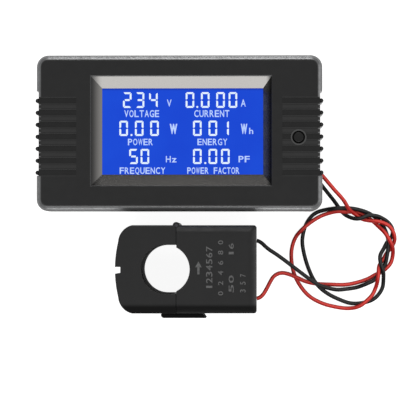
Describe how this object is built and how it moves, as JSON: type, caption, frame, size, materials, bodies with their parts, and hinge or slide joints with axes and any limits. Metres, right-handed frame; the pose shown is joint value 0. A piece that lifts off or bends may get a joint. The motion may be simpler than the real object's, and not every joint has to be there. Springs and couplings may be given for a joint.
{
  "type": "power meter",
  "caption": "Panel power meter lying on its back with a lit screen, a push button and thin leads to a hinged split-core current clamp.",
  "frame": {"origin": "middle of the meter's back face", "axes": "+Z out of the screen, +X along the meter's long side towards the terminals, +Y towards the top of the screen"},
  "size_m": [0.1144, 0.0823, 0.031],
  "materials": {
    "housing_plastic": "moulded, satin",
    "button_plastic": "moulded, satin",
    "screen_film": "lit, deep blue",
    "screen_glass": "clear",
    "tray_plastic": "moulded, matt",
    "guide_plastic": "clear, polished",
    "lamp_resin": "cast resin",
    "strip_rubber": "striped silicone",
    "board_laminate": "lacquered laminate",
    "chip_resin": "moulded, matt",
    "crystal_can": "drawn can",
    "capacitor_sleeve": "shrunk sleeve",
    "film_case": "moulded box",
    "resistor_paint": "painted",
    "disc_paint": "dipped",
    "screw_steel": "zinc plated",
    "switch_resin": "moulded, matt",
    "block_plastic": "moulded, matt",
    "tinned_copper": "tinned",
    "clamp_plastic": "moulded, satin",
    "core_ferrite": "ground ferrite",
    "spring_steel": "rolled",
    "bobbin_plastic": "moulded, matt",
    "winding_copper": "lacquered copper wire",
    "black_insulation": "soft, satin",
    "red_insulation": "soft, satin"
  },
  "bodies": {
    "meter": {"front_housing": "housing_plastic", "rear_cover": "housing_plastic", "lcd_polariser": "screen_film", "lcd_front_glass": "screen_glass", "lcd_rear_glass": "screen_glass", "backlight_tray": "tray_plastic", "light_guide": "guide_plastic", "backlight_leds": "lamp_resin", "contact_strips": "strip_rubber", "main_board": "board_laminate", "controller_chip": "chip_resin", "metering_chip": "chip_resin", "chip_resistors": "chip_resin", "crystal": "crystal_can", "storage_capacitor": "capacitor_sleeve", "film_capacitor": "film_case", "fuse_resistor": "resistor_paint", "surge_disc": "disc_paint", "housing_screws": "screw_steel", "board_screws": "screw_steel", "terminal_screws": "screw_steel", "terminal_cages": "screw_steel", "switch_body": "switch_resin", "terminal_block": "block_plastic", "tinned_ends": "tinned_copper", "black_lead": "black_insulation", "red_lead": "red_insulation"},
    "button": {"button_cap": "button_plastic", "switch_plunger": "switch_resin"},
    "clamp_base_half": {"clamp_base": "clamp_plastic", "clamp_back_plate": "clamp_plastic", "fixed_core": "core_ferrite", "bobbin": "bobbin_plastic", "secondary_winding": "winding_copper", "hinge_pin": "spring_steel"},
    "clamp_cap_half": {"clamp_cap": "clamp_plastic", "cap_back_plate": "clamp_plastic", "moving_core": "core_ferrite", "core_spring": "spring_steel"},
    "latch": {"clamp_latch": "clamp_plastic"}
  },
  "joints": [
    {"name": "button_press", "type": "slide", "parent": "meter", "child": "button", "axis": [0, 0, -1], "range_m": [0, 0.0005], "stiffness_N_per_m": 1000, "springref_m": -0.0003},
    {"name": "clamp_draw", "type": "slide", "parent": "meter", "child": "clamp_base_half", "axis": [0, -1, 0], "range_m": [0, 0.0174]},
    {"name": "clamp_opening", "type": "hinge", "parent": "clamp_base_half", "child": "clamp_cap_half", "pos_m": [-0.0008, -0.029, 0.0155], "axis": [0, 0, -1], "range_deg": [0, 95]},
    {"name": "latch_flex", "type": "hinge", "parent": "clamp_cap_half", "child": "latch", "pos_m": [-0.0047, -0.0561, 0.0155], "axis": [0, 0, -1], "range_deg": [0, 12], "stiffness_Nm_per_rad": 0.17, "springref_deg": -2.86}
  ],
  "couplings": [
    {"joint": "clamp_opening", "follows": "clamp_draw", "rad_per_m": 95.28}
  ]
}
